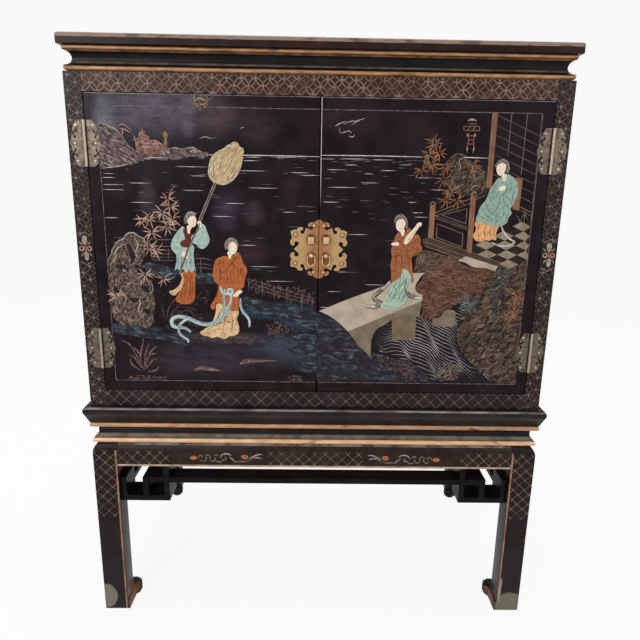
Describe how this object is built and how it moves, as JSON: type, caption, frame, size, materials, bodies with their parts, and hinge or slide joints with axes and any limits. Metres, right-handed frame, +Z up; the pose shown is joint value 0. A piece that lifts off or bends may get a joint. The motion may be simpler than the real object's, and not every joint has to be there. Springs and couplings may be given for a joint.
{
  "type": "cabinet on stand",
  "caption": "Lacquered cupboard on an open stand: a pair of hinged doors in a face frame, a shelf inside, moulded cornice and waist, and straight legs with fretwork brackets.",
  "frame": {"origin": "on the floor, under the middle of the cabinet's bounding box", "axes": "+Z up, front of the cabinet towards -Y, +X to the right of someone who faces the doors"},
  "size_m": [1.0272, 0.4712, 1.307],
  "materials": {
    "black_lacquer": "black lacquer, rubbed to a soft gloss",
    "door_lacquer": "black lacquer with a raised and painted garden scene",
    "border_lacquer": "brown-black lacquer with painted diaper borders",
    "inner_lacquer": "dark red-brown lacquer, satin",
    "gilt_paint": "gold paint on turned-over mouldings, worn",
    "plate_brass": "cut and filed sheet brass, polished",
    "hinge_brass": "cut and filed sheet brass, dulled",
    "pin_brass": "turned brass"
  },
  "bodies": {
    "cabinet": {"top_board": "black_lacquer", "cornice_bead_upper": "gilt_paint", "cornice_scotia": "black_lacquer", "cornice_bead_lower": "gilt_paint", "case_side_left": "black_lacquer", "case_side_right": "black_lacquer", "case_top": "inner_lacquer", "case_bottom": "inner_lacquer", "back_panel": "black_lacquer", "stile_left": "border_lacquer", "stile_right": "border_lacquer", "rail_top": "border_lacquer", "rail_bottom": "border_lacquer", "shelf": "inner_lacquer", "shelf_pin_left_front": "pin_brass", "shelf_pin_left_back": "pin_brass", "shelf_pin_right_front": "pin_brass", "shelf_pin_right_back": "pin_brass", "catch_left": "inner_lacquer", "catch_right": "inner_lacquer", "hinge_top_left_frame": "hinge_brass", "hinge_bottom_left_frame": "hinge_brass", "hinge_top_right_frame": "hinge_brass", "hinge_bottom_right_frame": "hinge_brass", "waist_ledge": "black_lacquer", "waist_bead_upper": "gilt_paint", "waist_cove": "black_lacquer", "waist_bead_lower": "gilt_paint", "leg_front_left": "black_lacquer", "leg_front_right": "black_lacquer", "leg_back_left": "black_lacquer", "leg_back_right": "black_lacquer", "apron_front": "border_lacquer", "apron_back": "black_lacquer", "apron_left": "border_lacquer", "apron_right": "border_lacquer", "stretcher_front": "black_lacquer", "fret_front_left": "black_lacquer", "fret_front_right": "black_lacquer", "stretcher_back": "black_lacquer", "fret_back_left": "black_lacquer", "fret_back_right": "black_lacquer", "fret_left": "black_lacquer", "fret_right": "black_lacquer"},
    "left_door": {"door_left": "door_lacquer", "hinge_top_left_door": "hinge_brass", "hinge_bottom_left_door": "hinge_brass", "lock_plate_left": "plate_brass", "lock_staple_left": "plate_brass", "pull_post_left": "plate_brass"},
    "right_door": {"door_right": "door_lacquer", "hinge_top_right_door": "hinge_brass", "hinge_bottom_right_door": "hinge_brass", "lock_plate_right": "plate_brass", "lock_staple_right": "plate_brass", "pull_post_right": "plate_brass"},
    "left_bail": {"pull_bail_left": "plate_brass"},
    "right_bail": {"pull_bail_right": "plate_brass"}
  },
  "joints": [
    {"name": "left_door_hinge", "type": "hinge", "parent": "cabinet", "child": "left_door", "pos_m": [-0.465, -0.2253, 0.8875], "axis": [0, 0, -1], "range_deg": [0, 170]},
    {"name": "right_door_hinge", "type": "hinge", "parent": "cabinet", "child": "right_door", "pos_m": [0.465, -0.2253, 0.8875], "axis": [0, 0, 1], "range_deg": [0, 170]},
    {"name": "left_bail_swing", "type": "hinge", "parent": "left_door", "child": "left_bail", "pos_m": [-0.01535, -0.2304, 0.883], "axis": [-1, 0, 0], "range_deg": [-8, 100]},
    {"name": "right_bail_swing", "type": "hinge", "parent": "right_door", "child": "right_bail", "pos_m": [0.01535, -0.2304, 0.883], "axis": [-1, 0, 0], "range_deg": [-8, 100]}
  ]
}
